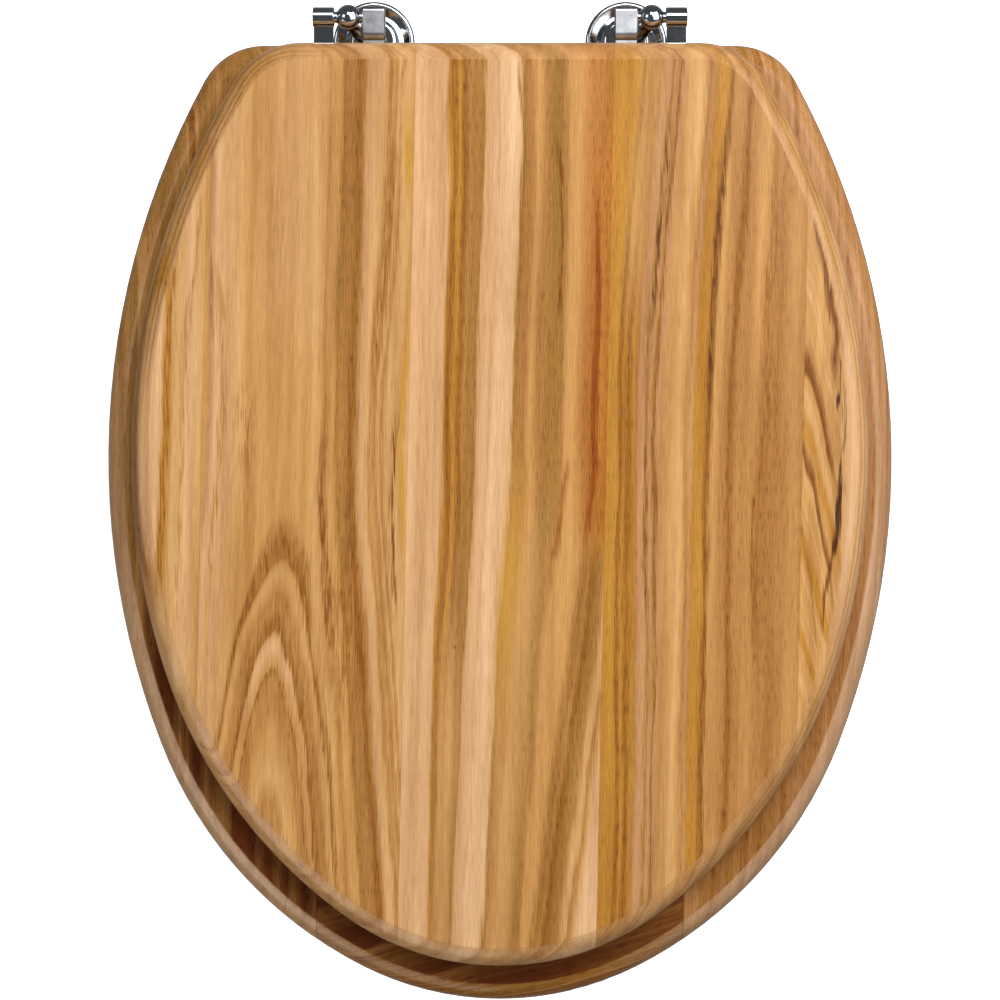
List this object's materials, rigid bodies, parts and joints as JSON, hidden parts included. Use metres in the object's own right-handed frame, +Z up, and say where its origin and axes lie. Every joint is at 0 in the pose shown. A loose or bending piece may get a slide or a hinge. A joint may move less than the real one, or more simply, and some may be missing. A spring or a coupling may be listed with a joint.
{
  "type": "toilet seat",
  "caption": "Solid wood toilet seat of glued boards, lid down on an oval seat ring, hung on chrome ball hinges with eccentric bases, studs and wing nuts.",
  "frame": {"origin": "midway between the two mounting studs, on the plane of the pan's top", "axes": "+Z up, +Y to the back with the hinges, -Y to the front of the seat, +X to the right in plan"},
  "size_m": [0.37, 0.4727, 0.116],
  "materials": {
    "wood": "edge-glued boards under clear satin lacquer",
    "chrome": "bright chrome plate on zinc castings",
    "steel": "zinc-plated screws and studs",
    "rubber": "matt black moulded rubber",
    "plastic": "off-white moulded nylon"
  },
  "bodies": {
    "base": {"base_gasket_left": "rubber", "base_disc_left": "chrome", "hinge_post_left": "chrome", "hinge_pin_left": "chrome", "mounting_stud_left": "steel", "cone_washer_left": "rubber", "plate_washer_left": "plastic", "wing_nut_left": "plastic", "base_gasket_right": "rubber", "base_disc_right": "chrome", "hinge_post_right": "chrome", "hinge_pin_right": "chrome", "mounting_stud_right": "steel", "cone_washer_right": "rubber", "plate_washer_right": "plastic", "wing_nut_right": "plastic"},
    "ring": {"seat_ring": "wood", "ring_buffer_screws": "steel", "ring_leaf_left": "chrome", "ring_leaf_screws_left": "steel", "ring_leaf_right": "chrome", "ring_leaf_screws_right": "steel", "ring_buffer_front_left": "rubber", "ring_buffer_front_right": "rubber", "ring_buffer_rear_left": "rubber", "ring_buffer_rear_right": "rubber"},
    "lid": {"lid": "wood", "lid_buffer_screws": "steel", "lid_leaf_left": "chrome", "lid_leaf_screws_left": "steel", "lid_leaf_right": "chrome", "lid_leaf_screws_right": "steel", "lid_buffer_front_left": "rubber", "lid_buffer_front_right": "rubber", "lid_buffer_rear_left": "rubber", "lid_buffer_rear_right": "rubber"}
  },
  "joints": [
    {"name": "ring_hinge", "type": "hinge", "parent": "base", "child": "ring", "pos_m": [0, 0.008, 0.0325], "axis": [-1, 0, 0], "range_deg": [0, 98]},
    {"name": "lid_hinge", "type": "hinge", "parent": "ring", "child": "lid", "pos_m": [0, 0.008, 0.0325], "axis": [-1, 0, 0], "range_deg": [0, 106]}
  ]
}
